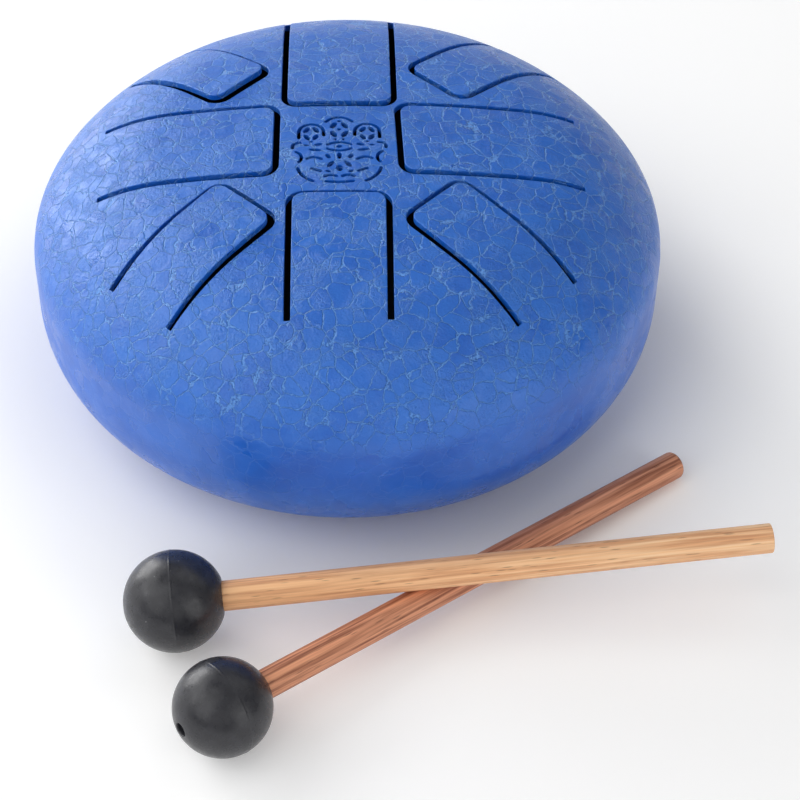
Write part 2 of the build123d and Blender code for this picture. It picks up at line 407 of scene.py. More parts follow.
def petal(x, y, half_length, half_width, heading):
    """A cut in the form of an ellipse."""
    turn = radians(heading)

    def outline(d):
        points = []
        for c, s in around(PETAL_STEPS):
            u, v = half_length * c, half_width * s
            nu, nv = c * half_width, s * half_length
            size = hypot(nu, nv)
            u, v = u + nu / size * d, v + nv / size * d
            points.append((
                ORNAMENT_X + x + u * cos(turn) - v * sin(turn),
                ORNAMENT_Y + y + u * sin(turn) + v * cos(turn),
            ))
        return points

    return Cut(outline, FINE_ROUND)


def arc_path(x, y, radius, start, sweep):
    """Points along an arc, angles in degrees."""
    steps = max(4, round(radians(sweep) * radius / CUT_STEP))
    angles = [radians(start + sweep * k / steps) for k in range(steps + 1)]
    return [(x + radius * cos(a), y + radius * sin(a)) for a in angles]


def ornament_cuts():
    """Every cut of the pierced open hand, the right half mirrored to the left."""
    paths = [arc_path(*arc) for arc in MIDDLE_ARCS]
    x, y, radius, near_leg, far_leg = FINGER_ARCH
    arch = [(x + radius, far_leg), (x + radius, (y + far_leg) / 2)] + arc_path(x, y, radius, 0, 180)
    arch += [(x - radius, (y + near_leg) / 2), (x - radius, near_leg)]
    side_paths = [arc_path(*arc) for arc in SIDE_ARCS] + [arch]
    side_paths += [[(a, b), ((a + c) / 2, (b + d) / 2), (c, d)] for a, b, c, d in SIDE_LINES]
    for path in side_paths:
        paths.append(path)
        paths.append([(-px, py) for px, py in reversed(path)])
    cuts = [stroke(path, ORNAMENT_SLOT / 2) for path in paths]
    cuts += [petal(*values) for values in MIDDLE_PETALS]
    for px, py, long_half, short_half, heading in SIDE_PETALS:
        cuts.append(petal(px, py, long_half, short_half, heading))
        cuts.append(petal(-px, py, long_half, short_half, 180 - heading))
    return cuts


def inside(points, loop):
    """Which of an array of points lie inside a closed loop."""
    x, y = points[:, 0], points[:, 1]
    hit = np.zeros(len(points), bool)
    for (x0, y0), (x1, y1) in zip(loop, loop[1:] + loop[:1]):
        if y0 == y1:
            continue
        crosses = (y0 > y) != (y1 > y)
        hit ^= crosses & (x < (x1 - x0) * (y - y0) / (y1 - y0) + x0)
    return hit


def near_loop(points, loop, gap):
    """Which of an array of points lie closer to a closed loop than gap."""
    low = np.min(loop, axis=0) - gap
    high = np.max(loop, axis=0) + gap
    box = np.all((points > low) & (points < high), axis=1)
    candidates = points[box]
    flags = np.zeros(len(candidates), bool)
    for a, b in zip(loop, loop[1:] + loop[:1]):
        a, b = np.array(a), np.array(b)
        run = b - a
        t = np.clip((candidates - a) @ run / max(run @ run, 1e-12), 0, 1)
        flags |= np.linalg.norm(candidates - a - t[:, None] * run, axis=1) < gap
    close = np.zeros(len(points), bool)
    close[box] = flags
    return close


# ======================== the upper shell
class Tongue:
    """One tongue as the frame gives it: its root, its direction, its length and half width."""

    def __init__(self, joint):
        self.name = joint["child"]  # its body's and its CAD node's
        self.root = Vector((joint["pos_m"][0] / MM, joint["pos_m"][1] / MM))
        axis = joint["axis"]
        self.inward = Vector((-axis[1], axis[0]))
        self.side = Vector((-self.inward.y, self.inward.x))
        self.root_z = joint["pos_m"][2] / MM
        spots = points_mm(self.name)
        in_plan = spots[:, :2] - np.array(self.root)
        reach = in_plan @ np.array(self.inward)
        self.length = float(reach.max())
        self.half = float(np.abs(in_plan @ np.array(self.side)).max())
        tip = spots[(reach > self.length - TIP_BAND) & (spots[:, 2] > spots[:, 2].max() - WALL)]
        self.lift = atan2(max(z - dome_at(x, y)[0] for x, y, z in tip), self.length)

    def bend(self, points, normals_at, normals):
        """Lifts the tongue from the dome: the sheet bends over a short length at its root."""
        pivot = np.array([self.root.x, self.root.y, self.root_z])
        inward = np.array([self.inward.x, self.inward.y, 0.0])

        def turned(vectors, angles):
            reach = vectors @ inward
            change_in = reach * (np.cos(angles) - 1) - vectors[:, 2] * np.sin(angles)
            change_up = reach * np.sin(angles) + vectors[:, 2] * (np.cos(angles) - 1)
            return vectors + change_in[:, None] * inward + change_up[:, None] * np.array([0, 0, 1.0])

        share = np.clip((points - pivot) @ inward / BEND_LENGTH, 0, 1)
        eased = share * share * (3 - 2 * share)
        steeper = eased + share * 6 * share * (1 - share)
        return (
            pivot + turned(points - pivot, self.lift * eased),
            turned(normals, self.lift * steeper[normals_at]),
        )


TONGUES = [Tongue(j) for j in frame["joints"] if j["name"].startswith("flex_")]


def grid_points(cuts):
    """Evenly spread points of the disc, clear of every cut and of the tongues' roots."""
    rows = []
    step = GRID * sqrt(3) / 2
    count = ceil(DISC_R / step)
    for j in range(-count, count + 1):
        shift = GRID / 2 if j % 2 else 0
        for i in range(-ceil(DISC_R / GRID) - 1, ceil(DISC_R / GRID) + 2):
            rows.append((i * GRID + shift, j * step))
    points = np.array(rows)
    keep = np.hypot(points[:, 0], points[:, 1]) < DISC_R - GRID * 0.6
    for cut in cuts:
        loop = cut.outline(cut.rounding)
        keep &= ~inside(points, loop) & ~near_loop(points, loop, CLEAR)
    return points[keep]


def build_dome(shape):
    """The dome with its slots as closed solids: piece 0 is the shell, 1 and up are the tongues."""
    slots = [tongue_slot(tongue) for tongue in TONGUES]
    cuts = slots + ornament_cuts()
    plan = []
    edges = []

    def add_loop(points):
        first = len(plan)
        plan.extend(points)
        count = len(points)
        edges.extend((first + i, first + (i + 1) % count) for i in range(count))
        return list(range(first, first + count))

    circle = add_loop([(DISC_R * c, DISC_R * s) for c, s in around(TURNS)])
    loops = [add_loop(cut.outline(cut.rounding)) for cut in cuts]
    roots = []
    for slot, loop in zip(slots, loops):
        first, last = loop[slot.tongue_span[0]], loop[slot.tongue_span[1]]
        a, b = Vector(plan[first]), Vector(plan[last])
        between = [tuple(a.lerp(b, k / ROOT_STEPS)) for k in range(1, ROOT_STEPS)]
        chain = [first] + list(range(len(plan), len(plan) + len(between))) + [last]
        plan.extend(between)
        edges.extend(zip(chain, chain[1:]))
        roots.append(chain)
    spread = grid_points(cuts)
    for tongue, chain in zip(TONGUES, roots):
        line = [plan[i] for i in chain]
        spread = spread[~near_loop(spread, line + line[-2:0:-1], CLEAR)]
    plan.extend(map(tuple, spread))

    result = delaunay_2d_cdt([Vector(p) for p in plan], edges, [], 0, 1e-5)
    where, triangles, origins = result[0], result[2], result[3]
    source = {}
    for new, old in enumerate(origins):
        for o in old:
            source[o] = new
    top = {}
    under = {}
    for new, p in enumerate(where):
        z, normal = dome_at(p.x, p.y)
        top[new] = (shape.point(p.x, p.y, z), normal)
        z, normal = dome_at(p.x, p.y, WALL)
        under[new] = (shape.point(p.x, p.y, z), tuple(-c for c in normal))

    # sort the triangles into cuts, tongues and shell
    centres = np.array([
        [sum(where[i].x for i in t) / 3, sum(where[i].y for i in t) / 3] for t in triangles
    ])
    removed = np.zeros(len(triangles), bool)
    for cut in cuts:
        removed |= inside(centres, cut.outline(cut.rounding))
    removed |= np.hypot(centres[:, 0], centres[:, 1]) > DISC_R
    owner = np.zeros(len(triangles), int)
    for number, (slot, loop) in enumerate(zip(slots, loops), start=1):
        a, b = slot.tongue_span
        owner[inside(centres, [plan[i] for i in loop[a:b + 1]])] = number
    for triangle, is_removed, piece in zip(triangles, removed, owner.tolist()):
        if not is_removed:
            shape.patch([top[i] for i in triangle], 0, piece)
            shape.patch([under[i] for i in triangle], 1, piece)

    for number, (cut, loop) in enumerate(zip(cuts, loops), start=1):
        add_cut_edge(shape, cut, [source[i] for i in loop], top, under, number)
    for number, (tongue, slot, chain) in enumerate(zip(TONGUES, slots, roots), start=1):
        add_root(shape, tongue, slot, [source[i] for i in chain], top, under, number)
    add_dome_side(shape, [source[i] for i in circle], top, under)


def add_cut_edge(shape, cut, loop, top, under, number):
    """The rounded upper edge and the wall of one cut."""
    e = cut.rounding
    outer = cut.outline(e)
    inner = cut.outline(0)
    count = len(outer)
    aim = []  # the way across the edge into the cut, in plan
    for (xo, yo), (xi, yi) in zip(outer, inner):
        size = hypot(xi - xo, yi - yo)
        aim.append(((xi - xo) / size, (yi - yo) / size))
    rows = [[top[i] for i in loop]]
    for angle in EDGE_ANGLES:
        d = e * (1 - sin(radians(angle)))
        lean = (e - d) / e
        lift = sqrt(max(0.0, 1 - lean * lean))
        row = []
        for (x, y), (ax, ay) in zip(cut.outline(d), aim):
            z, normal = dome_at(x, y)
            mixed = (lean * ax + lift * normal[0], lean * ay + lift * normal[1], lift * normal[2])
            row.append((shape.point(x, y, z - e * (1 - lift)), mixed))
        rows.append(row)
    wall_top = [(point, (ax, ay, 0.0)) for (point, _), (ax, ay) in zip(rows[-1], aim)]
    wall_foot = []
    under_edge = []
    for (x, y), (ax, ay) in zip(inner, aim):
        z, normal = dome_at(x, y, WALL)
        point = shape.point(x, y, z)
        wall_foot.append((point, (ax, ay, 0.0)))
        under_edge.append((point, tuple(-c for c in normal)))
    under_row = [under[i] for i in loop]
    cut.edge_rows = rows
    cut.foot = [point for point, _ in wall_foot]
    span = cut.tongue_span
    for i in range(count):
        j = (i + 1) % count
        on_tongue = span is not None and span[0] <= i < span[1]
        piece = number if on_tongue else 0
        strips = [(a, b, 0) for a, b in zip(rows, rows[1:])]
        strips += [(wall_top, wall_foot, 0), (under_edge, under_row, 1)]
        for a, b, finish in strips:
            shape.patch([a[i], b[i], b[j], a[j]], finish, piece)


def add_root(shape, tongue, slot, chain, top, under, number):
    """The two faces where a tongue and the shell go on into each other."""
    first, last = slot.tongue_span
    start = [row[first][0] for row in reversed(slot.edge_rows)]
    finish = [row[last][0] for row in slot.edge_rows]
    middle = [top[i][0] for i in chain]
    below = [under[i][0] for i in chain]
    out = (-tongue.inward.x, -tongue.inward.y, 0.0)
    faces = [tuple(start + [below[0], slot.foot[first]])]
    faces += [(middle[k], middle[k + 1], below[k + 1], below[k]) for k in range(len(chain) - 1)]
    faces.append(tuple(finish + [slot.foot[last], below[-1]]))
    for corners in faces:
        shape.face(corners, [out] * len(corners), 1, number)
        shape.face(corners, [tuple(-c for c in out)] * len(corners), 1, 0)


def add_dome_side(shape, circle, top, under):
    """The dome's smooth side, from the slotted disc down to the rim."""

    def rows_for(inset):
        shoulder_r = SHOULDER_ARC_R - inset
        side_r = SIDE_ARC_R - inset
        start = acos((DISC_R - SHOULDER_CENTRE_R) / shoulder_r)
        run = arc_run((SHOULDER_CENTRE_R, SHOULDER_CENTRE_Z), shoulder_r, start, SIDE_TURN, 5)
        run += arc_run((SIDE_CENTRE_R, DOME_FOOT), side_r, SIDE_TURN, 0, 12)[1:]
        r = RADIUS - inset
        run += line_run((r, DOME_FOOT), (r, UPPER_RIM_Z), (1, 0), 3)[1:]
        return run[1:]

    edges = []
    for layer, inset, sign, finish in ((top, 0.0, 1, 0), (under, WALL, -1, 1)):
        above = [layer[i] for i in circle]
        for r, z, nr, nz in rows_for(inset):
            row = []
            for c, s in around(TURNS):
                normal = (sign * nr * c, sign * nr * s, sign * nz)
                row.append((shape.point(r * c, r * s, z), normal))
            for i in range(TURNS):
                j = (i + 1) % TURNS
                shape.patch([above[i], row[i], row[j], above[j]], finish)
            above = row
        edges.append([point for point, _ in above])
    outer, inner = edges
    for i in range(TURNS):
        j = (i + 1) % TURNS
        shape.face((outer[i], inner[i], inner[j], outer[j]), [(0.0, 0.0, -1.0)] * 4, 1, 0)


# ======================== the other pieces
def lower_shell_runs():
    """The lower shell's profile: side, knuckle, flat base, sound hole and inside."""
    knuckle = (RADIUS - KNUCKLE_R, BASE_Z + KNUCKLE_R)
    inner_r = KNUCKLE_R - WALL
    hole = SOUND_HOLE_R
    edge = EDGE_ROUND
    inner_z = BASE_Z + WALL
    return [
        line_run((RADIUS, LOWER_RIM_Z), (RADIUS, knuckle[1]), (1, 0), 3)
        + arc_run(knuckle, KNUCKLE_R, 0, -pi / 2, 24)[1:]
        + line_run((knuckle[0], BASE_Z), (hole + edge, BASE_Z), (0, -1), 12)[1:]
        + arc_run((hole + edge, BASE_Z + edge), edge, -pi / 2, -pi, 5)[1:]
        + line_run((hole, BASE_Z + edge), (hole, inner_z), (-1, 0), 1)[1:],
        line_run((hole, inner_z), (knuckle[0], inner_z), (0, 1), 12)
        + arc_run(knuckle, inner_r, -pi / 2, 0, 20, inward=True)[1:]
        + line_run((RADIUS - WALL, knuckle[1]), (RADIUS - WALL, LOWER_RIM_Z), (-1, 0), 2)[1:],
        line_run((RADIUS - WALL, LOWER_RIM_Z), (RADIUS, LOWER_RIM_Z), (0, 1)),
    ]


def weld_runs():
    """The weld between the shells: flush outside, a low bead inside."""
    low, high = box_mm("equator_weld")
    inside_r = RADIUS - WALL
    middle = (UPPER_RIM_Z + LOWER_RIM_Z) / 2
    half_height = (high[2] - low[2]) / 2
    rise = 0.5
    bead_r = (half_height**2 + rise**2) / (2 * rise)
    centre = (inside_r - rise + bead_r, middle)
    lean = asin(half_height / bead_r)
    steps = 8
    return [
        line_run((RADIUS, UPPER_RIM_Z), (RADIUS, LOWER_RIM_Z), (1, 0)),
        line_run((RADIUS, LOWER_RIM_Z), (inside_r, LOWER_RIM_Z), (0, -1)),
        line_run((inside_r, LOWER_RIM_Z), (inside_r, middle - half_height), (1, 0)),
        [
            (centre[0] - bead_r * cos(a), centre[1] - bead_r * sin(a), -cos(a), -sin(a))
            for a in (lean - 2 * lean * k / steps for k in range(steps + 1))
        ],
        line_run((inside_r, middle + half_height), (inside_r, UPPER_RIM_Z), (1, 0)),
        line_run((inside_r, UPPER_RIM_Z), (RADIUS, UPPER_RIM_Z), (0, 1)),
    ]


def smooth_run(points):
    """Profile points along a smooth curve, with normals to the right of the way they go."""
    run = []
    for i, (r, z) in enumerate(points):
        before, after = points[max(0, i - 1)], points[min(len(points) - 1, i + 1)]
        dr, dz = after[0] - before[0], after[1] - before[1]
        size = hypot(dr, dz)
        run.append((r, z, dz / size, -dr / size))
    return run


def foot_runs(radius, height):
    """A rubber foot: rounded at the ground, a shallow dish underneath, bevelled at the top."""
    round_r = 0.9
    dish_r = radius * 0.55
    dish = 0.25
    bevel = 0.25
    steps = 8
    dish_curve = [
        (dish_r * k / steps, dish / 2 * (1 + cos(pi * k / steps))) for k in range(steps + 1)
    ]
    return [
        smooth_run(dish_curve)
        + line_run((dish_r, 0), (radius - round_r, 0), (0, -1), 2)[1:]
        + arc_run((radius - round_r, round_r), round_r, -pi / 2, 0, 6)[1:]
        + line_run((radius, round_r), (radius, height - bevel), (1, 0), 2)[1:],
        line_run((radius, height - bevel), (radius - bevel, height), (sqrt(0.5), sqrt(0.5))),
        line_run((radius - bevel, height), (0, height), (0, 1), 2),
    ]


def pad_runs(radius, low, high):
    """A disc of foam tape."""
    return [
        line_run((0, low), (radius, low), (0, -1), 2),
        line_run((radius, low), (radius, high), (1, 0)),
        line_run((radius, high), (0, high), (0, 1), 2),
    ]


# ---- the mallets, as the CAD has them ----
HEAD_FLAT_R = 3.9
BORE_PAST_CENTRE = 4.0
VENT_R = 1.5
RIDGE = 0.05  # height of the moulding line round a head
RIDGE_WIDTH = 0.22


def head_runs(head_r, stick_r):
    """A rubber head turned about its stick's axis: the ball with its moulding line, the flat where
    the stick goes in, the bore and the hole at the far pole."""
    ball_r = head_r - RIDGE
    soft = 0.3
    start = -pi / 2 + asin((VENT_R + soft) / ball_r)
    end = acos((HEAD_FLAT_R + soft) / ball_r)
    below, half_ridge, above = 22, 8, 18  # steps below, in half of and above the moulding line
    ridge = [
        RIDGE_WIDTH * 3 / ball_r * k / half_ridge for k in range(-half_ridge, half_ridge + 1)
    ]
    lower = [start + (ridge[0] - start) * k / below for k in range(below)]
    upper = [ridge[-1] + (end - ridge[-1]) * k / above for k in range(1, above + 1)]
    ball = []
    for a in lower + ridge + upper:
        r = ball_r + RIDGE * exp(-((a * ball_r / RIDGE_WIDTH) ** 2))
        ball.append((r * cos(a), r * sin(a)))
    low_z, high_z = ball[0][1], ball[-1][1]
    vent = [(VENT_R, low_z + soft * 1.3), (VENT_R + soft * 0.12, low_z + soft * 0.55)]
    vent += [(VENT_R + soft * 0.45, low_z + soft * 0.14)]
    rim = [(HEAD_FLAT_R + soft * 0.5, high_z + soft * 0.16), (HEAD_FLAT_R, high_z + soft * 0.2)]
    flat_z = rim[-1][1]
    return [
        smooth_run(vent + ball + rim),
        line_run((HEAD_FLAT_R, flat_z), (stick_r, flat_z), (0, 1)),
        line_run((stick_r, flat_z), (stick_r, -BORE_PAST_CENTRE), (-1, 0), 3),
        line_run((stick_r, -BORE_PAST_CENTRE), (VENT_R, -BORE_PAST_CENTRE), (0, -1)),
        line_run((VENT_R, -BORE_PAST_CENTRE), vent[0], (-1, 0), 3),
    ]


def stick_runs(radius, length, end_round):
    """A wooden stick from its glued end inside the ball to its free end."""
    near = -BORE_PAST_CENTRE
    return [
        line_run((0, near), (radius, near), (0, -1)),
        line_run((radius, near), (radius, length - end_round), (1, 0), 40)
        + arc_run((radius - end_round, length - end_round), end_round, 0, pi / 2, 6)[1:]
        + line_run((radius - end_round, length), (radius * 0.2, length), (0, 1), 4)[1:]
        + line_run((radius * 0.2, length), (0, length), (0, 1))[1:],
    ]


class Mallet:
    """One mallet as the frame gives it: its axis, radii, length and the place of its head."""

    def __init__(self, number):
        self.name = f"mallet_{number}"
        spots = points_mm(f"{self.name}_stick")
        low, high = box_mm(f"{self.name}_head")
        middle = spots.mean(axis=0)
        along = np.linalg.svd(spots - middle, full_matrices=False)[2][0]
        head_middle = (np.array(low) + np.array(high)) / 2
        if (middle - head_middle) @ along < 0:
            along = -along
        reach = (spots - middle) @ along
        across = spots - middle - reach[:, None] * along
        self.stick_r = float(np.linalg.norm(across, axis=1).max())
        self.head_r = (high[2] - low[2]) / 2
        self.length = float(reach.max() - reach.min()) - BORE_PAST_CENTRE
        centre = middle + along * (reach.min() + BORE_PAST_CENTRE)
        level = Vector((-along[1], along[0], 0)).normalized()
        up = Vector(along).cross(level)
        turn = Matrix((level, up, Vector(along))).transposed()
        self.matrix = Matrix.Translation(Vector(centre) * MM) @ turn.to_4x4()


# ======================== materials
class Finish:
    """A material, with short ways to add nodes to it. Lengths inside it are in millimetres."""

    def __init__(self, name, **settings):
        self.material = bpy.data.materials.new(name)
        self.material.use_nodes = True
        self.tree = self.material.node_tree
        self.shader = self.tree.nodes["Principled BSDF"]
        for socket, value in settings.items():
            self.shader.inputs[socket.replace("_", " ")].default_value = value
        coordinates = self.tree.nodes.new("ShaderNodeTexCoord")
        self.place = self.vector("SCALE", coordinates.outputs["Object"], scale=1 / MM)

    def node(self, kind, inputs=None, **properties):
        made = self.tree.nodes.new("ShaderNode" + kind)
        for name, value in properties.items():
            setattr(made, name, value)
        for socket, value in (inputs or {}).items():
            if isinstance(value, bpy.types.NodeSocket):
                self.tree.links.new(value, made.inputs[socket])
            else:
                made.inputs[socket].default_value = value
        return made

    def vector(self, operation, a, b=None, scale=None):
        inputs = {0: a}
        if b is not None:
            inputs[1] = b
        if scale is not None:
            inputs["Scale"] = scale
        made = self.node("VectorMath", inputs, operation=operation)
        return made.outputs["Value" if operation in ("DOT_PRODUCT", "LENGTH") else "Vector"]

    def part(self, vector, axis="X"):
        return self.node("SeparateXYZ", {"Vector": vector}).outputs[axis]

    def math(self, operation, a, b):
        return self.node("Math", {0: a, 1: b}, operation=operation).outputs[0]

    def times(self, a, b):
        return self.math("MULTIPLY", a, b)

    def spread(self, value, low, high, out_low=0.0, out_high=1.0):
        """Maps a value's range low to high onto another range, and keeps it within that."""
        inputs = {
            "Value": value, "From Min": low, "From Max": high, "To Min": out_low, "To Max": out_high,
        }
        return self.node("MapRange", inputs, interpolation_type="SMOOTHSTEP").outputs["Result"]

    def noise(self, place, per_mm, detail=2.0, roughness=0.5, output="Fac"):
        inputs = {"Vector": place, "Scale": per_mm, "Detail": detail, "Roughness": roughness}
        return self.node("TexNoise", inputs).outputs[output]

    def wobble(self, place, per_mm, amount, detail=2.0):
        """The place moved about by up to half the amount, in millimetres."""
        colour = self.noise(place, per_mm, detail, output="Color")
        centred = self.vector("SUBTRACT", colour, (0.5, 0.5, 0.5))
        return self.vector("ADD", place, self.vector("SCALE", centred, scale=amount))

    def cells(self, place, size, feature="F1"):
        return self.node("TexVoronoi", {"Vector": place, "Scale": 1 / size}, feature=feature)

    def specks(self, cells, share, near, far):
        """Dots at the middles of a share of the cells: 1 within near of a middle, 0 past far."""
        chosen = self.math("GREATER_THAN", self.part(cells.outputs["Color"]), 1 - share)
        return self.times(self.spread(cells.outputs["Distance"], near, far, 1.0, 0.0), chosen)

    def mix(self, factor, a, b):
        """A mix of two colours; the numbers are the Mix node's own sockets for them."""
        return self.node("Mix", {0: factor, 6: a, 7: b}, data_type="RGBA").outputs[2]

    def set(self, socket, value):
        self.tree.links.new(value, self.shader.inputs[socket])

    def bump(self, height_mm):
        """Raises the surface by a height in millimetres."""
        made = self.node("Bump", {"Height": height_mm, "Strength": 1.0, "Distance": MM})
        self.set("Normal", made.outputs["Normal"])


PLATE_SIZE = 3.9  # usual width of a crackle plate
FLAKE_SIZE = 1.3  # usual width of the small flakes in the finer patches
CRACK_HALF_WIDTHS = (0.03, 0.17)  # at the bottom and at the top
FINE_HALF_WIDTHS = (0.02, 0.16)  # the same for the cracks between the flakes
CRACK_DEPTH = 0.34
PLATE_SLOPE = 0.022  # how far the plates lean, as a slope
SMOOTH_BELOW = 34.0  # height where the crackle has nearly run out
CRACKED_ABOVE = 47.0  # height where it is at its full strength


def crackle_paint():
    """Blue paint that has drawn together into flat plates with fine cracks between them. The cracks
    are plain on the dome and run out down the sides, where the paint is nearly smooth."""
    f = Finish("blue_crackle_paint", Specular_IOR_Level=1.0, Specular_Tint=(0.7, 0.88, 1.0, 1))
    on_dome = f.spread(f.part(f.place, "Z"), SMOOTH_BELOW, CRACKED_ABOVE, 0.1, 1.0)
    place = f.wobble(f.wobble(f.place, 0.15, 3.6), 0.8, 0.5, 1.0)
    jagged = f.wobble(place, 1.9, 0.7, 2.0)
    patches = f.noise(f.place, 0.2, 3.0, 0.6)

    # the cracks between the plates, and finer ones in some patches
    plates = f.cells(place, PLATE_SIZE)
    edges = f.cells(jagged, PLATE_SIZE, "DISTANCE_TO_EDGE")
    gap = f.times(edges.outputs["Distance"], PLATE_SIZE)
    whole = f.spread(f.noise(f.place, 0.3, 2.0), 0.32, 0.52, 0.55, 1.0)
    crack = f.times(f.spread(gap, *CRACK_HALF_WIDTHS, 1.0, 0.0), whole)
    flakes = f.cells(jagged, FLAKE_SIZE, "DISTANCE_TO_EDGE")
    flake_gap = f.times(flakes.outputs["Distance"], FLAKE_SIZE)
    broken = f.spread(patches, 0.48, 0.62, 0.0, 0.45)
    fine_crack = f.times(f.spread(flake_gap, *FINE_HALF_WIDTHS, 1.0, 0.0), broken)
    cracks = f.math("MAXIMUM", crack, f.times(fine_crack, 0.6))

    # the relief: each plate leans its own way, with a grain and slow lumps
    tilt = f.vector("SUBTRACT", plates.outputs["Color"], (0.5, 0.5, 0.5))
    from_middle = f.vector("SUBTRACT", place, plates.outputs["Position"])
    plate = f.times(f.vector("DOT_PRODUCT", tilt, from_middle), PLATE_SLOPE)
    grain = f.times(f.noise(f.place, 1.7, 3.0, 0.7), f.spread(patches, 0.36, 0.62, 0.12, 0.38))
    relief = f.math("SUBTRACT", f.math("ADD", plate, grain), f.times(cracks, CRACK_DEPTH))
    lump = f.times(f.noise(f.place, 0.16, 2.0), 0.25)
    f.bump(f.math("ADD", f.times(relief, on_dome), lump))

    # the colour: slow changes all over, lighter plates, clouds, specks, and a painted highlight along the cracks
    # on the dome, where the crack walls catch the light
    tone = f.noise(f.place, 0.1, 4.0, 0.6)
    colour = f.mix(f.spread(tone, 0.3, 0.7), (0.002, 0.094, 0.520, 1), (0.005, 0.122, 0.610, 1))
    own = f.part(plates.outputs["Color"])
    cloudy = f.spread(f.noise(f.place, 0.34, 3.0, 0.6), 0.42, 0.66, 0.0, 0.3)
    fine = f.spread(f.noise(f.place, 1.8, 3.0, 0.75), 0.45, 0.66, 0.0, 0.3)
    for share, lighter in (
        (f.spread(own, 0.0, 1.0, 0.0, 0.4), (0.010, 0.160, 0.66, 1)),
        (cloudy, (0.012, 0.150, 0.62, 1)),
        (fine, (0.025, 0.19, 0.70, 1)),
        # lighter cracks: painted highlight where the crack walls catch the light
        (f.times(cracks, 0.65), (0.15, 0.41, 0.96, 1)),
    ):
        colour = f.mix(f.times(share, on_dome), colour, lighter)
    flecks = f.cells(f.vector("MULTIPLY", f.wobble(f.place, 0.5, 1.6), (0.42, 0.42, 1.5)), 1.0)
    colour = f.mix(f.times(f.specks(flecks, 0.14, 0.04, 0.17), 0.55), colour, (0.10, 0.28, 0.72, 1))
    f.set("Base Color", colour)
    f.set("Roughness", f.spread(own, 0.0, 1.0, 0.27, 0.40))
    return f.material


def dark_steel_and_painted_shade_inside():
    """The inside of the shell: dark phosphated steel with a little overspray, made near-black as painted shade for
    its unlit inside.
    """
    f = Finish("dark_inside", Metallic=0.35)
    stain = f.noise(f.place, 0.25, 5.0, 0.6)
    # near-black steel colours, darkened further as painted shade for the unlit inside
    colour = f.mix(f.spread(stain, 0.35, 0.7), (0.010, 0.011, 0.014, 1), (0.014, 0.022, 0.05, 1))
    f.set("Base Color", colour)
    f.set("Roughness", f.spread(stain, 0.3, 0.7, 0.5, 0.72))
    f.bump(f.times(f.noise(f.place, 2.2, 3.0), 0.03))
    return f.material


def rubber(name, tone, dusty):
    """Moulded black rubber: satin, with a faint orange peel, wear and specks of dust."""
    f = Finish(name, Specular_IOR_Level=0.45)
    dark = (tone * 0.75, tone * 0.77, tone * 0.95, 1)
    worn = (tone * 1.25, tone * 1.27, tone * 1.5, 1)
    colour = f.mix(f.spread(f.noise(f.place, 0.35, 4.0, 0.6), 0.3, 0.75), dark, worn)
    dust = f.specks(f.cells(f.wobble(f.place, 1.2, 0.8), 1.7), 0.07, 0.05, 0.12)
    f.set("Base Color", f.mix(f.times(dust, dusty), colour, (0.35, 0.35, 0.36, 1)))
    f.set("Roughness", f.spread(f.noise(f.place, 0.8, 3.0), 0.3, 0.7, 0.25, 0.36))
    f.bump(f.times(f.noise(f.place, 2.6, 3.0, 0.55), 0.02))
    return f.material


def wood(name, pale, mid, dark, far_pale, length):
    """Turned hardwood with its grain along Z: long streaks, short dark pores, and a change of
    colour from the head to the free end."""
    f = Finish(name, Specular_IOR_Level=0.4)
    long_way = f.vector("MULTIPLY", f.place, (1.0, 1.0, 0.03))
    streaks = f.noise(f.wobble(long_way, 0.3, 0.8), 0.9, 4.0, 0.6)
    fine = f.noise(f.vector("MULTIPLY", f.place, (1.0, 1.0, 0.02)), 3.2, 3.0, 0.6)
    light = f.mix(f.spread(f.part(f.place, "Z"), length * 0.1, length * 0.85), pale, far_pale)
    colour = f.mix(f.spread(streaks, 0.36, 0.66), dark, light)
    colour = f.mix(f.spread(fine, 0.35, 0.7, 0.0, 0.55), colour, mid)
    pores = f.specks(f.cells(f.vector("MULTIPLY", f.place, (2.6, 2.6, 0.22)), 1.0), 0.28, 0.12, 0.36)
    pore_colour = tuple(c * 0.35 for c in dark[:3]) + (1,)
    f.set("Base Color", f.mix(f.times(pores, 0.6), colour, pore_colour))
    f.set("Roughness", f.spread(streaks, 0.3, 0.7, 0.62, 0.48))
    f.bump(f.math("SUBTRACT", f.times(fine, 0.02), f.times(pores, 0.05)))
    return f.material


def foam():
    """Grey closed-cell foam tape."""
    f = Finish("foam_tape", Roughness=0.9)
    pore = f.cells(f.place, 0.35).outputs["Distance"]
    f.set("Base Color", f.mix(f.spread(pore, 0.1, 0.6), (0.10, 0.10, 0.10, 1), (0.17, 0.17, 0.165, 1)))
    f.bump(f.times(pore, 0.04))
    return f.material


PAINT = crackle_paint()
INSIDE = dark_steel_and_painted_shade_inside()
HEAD_RUBBER = rubber("mallet_rubber", 0.027, 0.5)
FOOT_RUBBER = rubber("black_rubber", 0.022, 0.15)
FOAM = foam()


# ======================== making the pieces
def place_piece(piece, body, node):
    """The piece rides on its body and stands for its CAD node, which it hides."""
    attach(piece, body)
    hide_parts(node)


drum = Shape()
build_dome(drum)
place_piece(drum.make("dome_with_slots", [PAINT, INSIDE]), "drum", "upper_shell")
for number, tongue in enumerate(TONGUES, start=1):
    plate = drum.make(tongue.name + "_plate", [PAINT, INSIDE], number, bend=tongue.bend)
    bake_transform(plate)
    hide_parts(tongue.name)

base = Shape()
lathe(base, lower_shell_runs(), finishes=[0, 1, 1])
place_piece(base.make("base_shell", [PAINT, INSIDE]), "drum", "lower_shell")

weld = Shape()
lathe(weld, weld_runs(), finishes=[0, 1, 1, 1, 1, 1])
place_piece(weld.make("welded_seam", [PAINT, INSIDE]), "drum", "equator_weld")

